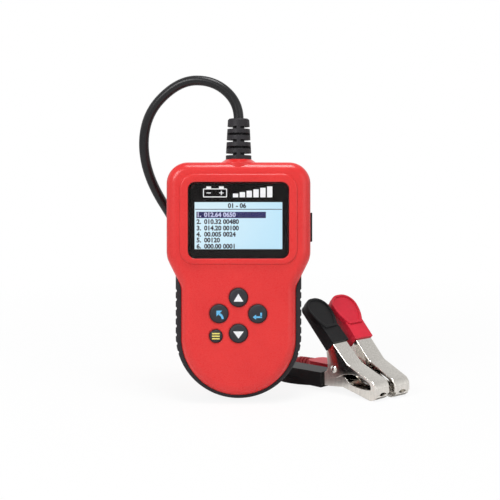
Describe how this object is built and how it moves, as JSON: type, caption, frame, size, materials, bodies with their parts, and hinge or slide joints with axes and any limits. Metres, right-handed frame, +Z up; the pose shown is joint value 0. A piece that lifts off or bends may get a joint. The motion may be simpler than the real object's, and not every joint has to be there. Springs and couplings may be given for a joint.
{
  "type": "battery tester",
  "caption": "Handheld vehicle battery tester with a framed display, round keys, ribbed rubber grips and a cable that splits to sprung red and black jaw clamps.",
  "frame": {"origin": "floor level, under the middle of the tester without its cable and clamps", "axes": "+Z up along the standing tester, which leans back by ten degrees; -Y out of its display; +X to the right of the display, where the clamps lie"},
  "size_m": [0.2188, 0.2533, 0.2553],
  "materials": {
    "red_plastic": "satin",
    "dark_rubber": "matte",
    "clear_lens": "gloss",
    "black_print": "gloss",
    "lit_display": "lit",
    "white_plastic": "satin",
    "green_board": "satin",
    "black_plastic": "satin",
    "green_plastic": "satin",
    "plated_steel": "bright",
    "zinc_steel": "satin",
    "black_rubber": "satin",
    "red_rubber": "satin",
    "wire_cover": "satin",
    "key_rubber": "matte",
    "spring_steel": "satin",
    "black_grip": "satin",
    "red_grip": "satin",
    "black_boot": "matte",
    "red_boot": "matte"
  },
  "bodies": {
    "tester": {"front_shell": "red_plastic", "rear_shell": "red_plastic", "grip_bumper": "dark_rubber", "display_lens": "clear_lens", "lens_mask": "black_print", "lcd_glass": "lit_display", "lcd_backlight": "white_plastic", "main_board": "green_board", "board_chips": "black_plastic", "key_switches": "black_plastic", "terminal_block": "green_plastic", "usb_socket": "plated_steel", "case_screws": "zinc_steel", "board_screws": "zinc_steel", "strain_relief": "black_rubber", "main_cable": "black_rubber", "cable_splitter": "black_rubber", "red_lead": "red_rubber", "black_lead": "black_rubber", "inner_wires": "wire_cover", "black_lower_jaw": "plated_steel", "black_rivet": "plated_steel", "black_spring": "spring_steel", "black_lower_handle": "black_grip", "black_boot": "black_boot", "red_lower_jaw": "plated_steel", "red_rivet": "plated_steel", "red_spring": "spring_steel", "red_lower_handle": "red_grip", "red_boot": "red_boot"},
    "port_cover": {"port_cover": "dark_rubber"},
    "up_key": {"up_key": "key_rubber"},
    "back_key": {"back_key": "key_rubber"},
    "enter_key": {"enter_key": "key_rubber"},
    "down_key": {"down_key": "key_rubber"},
    "function_key": {"function_key": "key_rubber"},
    "black_arm": {"black_upper_jaw": "plated_steel", "black_upper_handle": "black_grip"},
    "red_arm": {"red_upper_jaw": "plated_steel", "red_upper_handle": "red_grip"}
  },
  "joints": [
    {"name": "up_press", "type": "slide", "parent": "tester", "child": "up_key", "axis": [0, 0.9848, -0.1736], "range_m": [0, 0.0008], "stiffness_N_per_m": 300},
    {"name": "back_press", "type": "slide", "parent": "tester", "child": "back_key", "axis": [0, 0.9848, -0.1736], "range_m": [0, 0.0008], "stiffness_N_per_m": 300},
    {"name": "enter_press", "type": "slide", "parent": "tester", "child": "enter_key", "axis": [0, 0.9848, -0.1736], "range_m": [0, 0.0008], "stiffness_N_per_m": 300},
    {"name": "down_press", "type": "slide", "parent": "tester", "child": "down_key", "axis": [0, 0.9848, -0.1736], "range_m": [0, 0.0008], "stiffness_N_per_m": 300},
    {"name": "function_press", "type": "slide", "parent": "tester", "child": "function_key", "axis": [0, 0.9848, -0.1736], "range_m": [0, 0.0008], "stiffness_N_per_m": 300},
    {"name": "port_cover_hinge", "type": "hinge", "parent": "tester", "child": "port_cover", "pos_m": [0.058, 0.00522, 0.14678], "axis": [0, -0.9848, 0.1736], "range_deg": [0, 100]},
    {"name": "black_clamp_hinge", "type": "hinge", "parent": "tester", "child": "black_arm", "pos_m": [0.0828, 0.0096, 0.0195], "axis": [-0.7071, -0.7071, 0], "range_deg": [0, 40], "stiffness_Nm_per_rad": 1.2, "springref_deg": -28.65, "deforming": ["black_spring"]},
    {"name": "red_clamp_hinge", "type": "hinge", "parent": "tester", "child": "red_arm", "pos_m": [0.1029, 0.0236, 0.0195], "axis": [-0.7771, -0.6293, 0], "range_deg": [0, 40], "stiffness_Nm_per_rad": 1.2, "springref_deg": -28.65, "deforming": ["red_spring"]}
  ]
}
